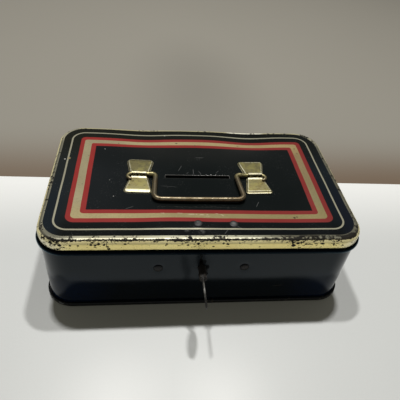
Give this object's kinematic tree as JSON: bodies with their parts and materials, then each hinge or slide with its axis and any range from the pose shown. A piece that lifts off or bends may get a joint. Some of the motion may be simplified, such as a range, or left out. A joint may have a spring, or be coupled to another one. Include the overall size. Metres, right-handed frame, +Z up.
{
  "type": "money box",
  "caption": "Hinged tinplate money box with a coin slot, a folding wire handle in embossed clips, and a small bolt lock with its key in the front.",
  "frame": {"origin": "on the table, under the middle of the box's walls", "axes": "+X along the front to the right, +Y to the back where the hinge is, +Z up"},
  "size_m": [0.1834, 0.1353, 0.0583],
  "materials": {
    "navy_lacquer": "glossy dark navy lacquer on tinplate, worn at the edges",
    "printed_lid": "gold lacquer with printed navy panels and red and gold stripes, worn and chipped",
    "clip_brass": "embossed brass-coloured sheet, satin and a little tarnished",
    "handle_brass": "brown tarnished brass-coloured wire, bright on top",
    "steel": "dull steel",
    "dark_steel": "dark oxidised steel"
  },
  "bodies": {
    "body": {"body_shell": "navy_lacquer", "base_panel": "navy_lacquer", "hinge_wire": "steel", "lock_case": "steel", "lock_rivets": "dark_steel", "guide_stud": "steel", "bolt_spring": "steel", "spring_rivet": "steel"},
    "lid": {"lid_shell": "printed_lid", "lid_catch": "steel", "catch_rivets": "steel", "handle_clip_left": "clip_brass", "handle_clip_right": "clip_brass"},
    "handle": {"handle_wire": "handle_brass"},
    "bolt": {"bolt": "steel"},
    "drill_pin": {"drill_pin": "steel"},
    "key": {"key_barrel": "dark_steel", "key_bow": "steel"}
  },
  "joints": [
    {"name": "lid_hinge", "type": "hinge", "parent": "body", "child": "lid", "pos_m": [0, 0.0546, 0.0471], "axis": [-1, 0, 0], "range_deg": [0, 105]},
    {"name": "handle_swing", "type": "hinge", "parent": "lid", "child": "handle", "pos_m": [-0.0015, 0, 0.05665], "axis": [-1, 0, 0], "range_deg": [0, 180]},
    {"name": "key_turn", "type": "hinge", "parent": "body", "child": "drill_pin", "pos_m": [-0.0015, -0.0542, 0.0328], "axis": [0, 1, 0], "range_deg": [0, 50]},
    {"name": "key_pull", "type": "slide", "parent": "drill_pin", "child": "key", "axis": [0, -1, 0], "range_m": [0, 0.016]},
    {"name": "bolt_slide", "type": "slide", "parent": "body", "child": "bolt", "axis": [1, 0, 0], "range_m": [0, 0.0052]}
  ],
  "couplings": [
    {"joint": "key_turn", "follows": "bolt_slide", "rad_per_m": 167.03}
  ]
}
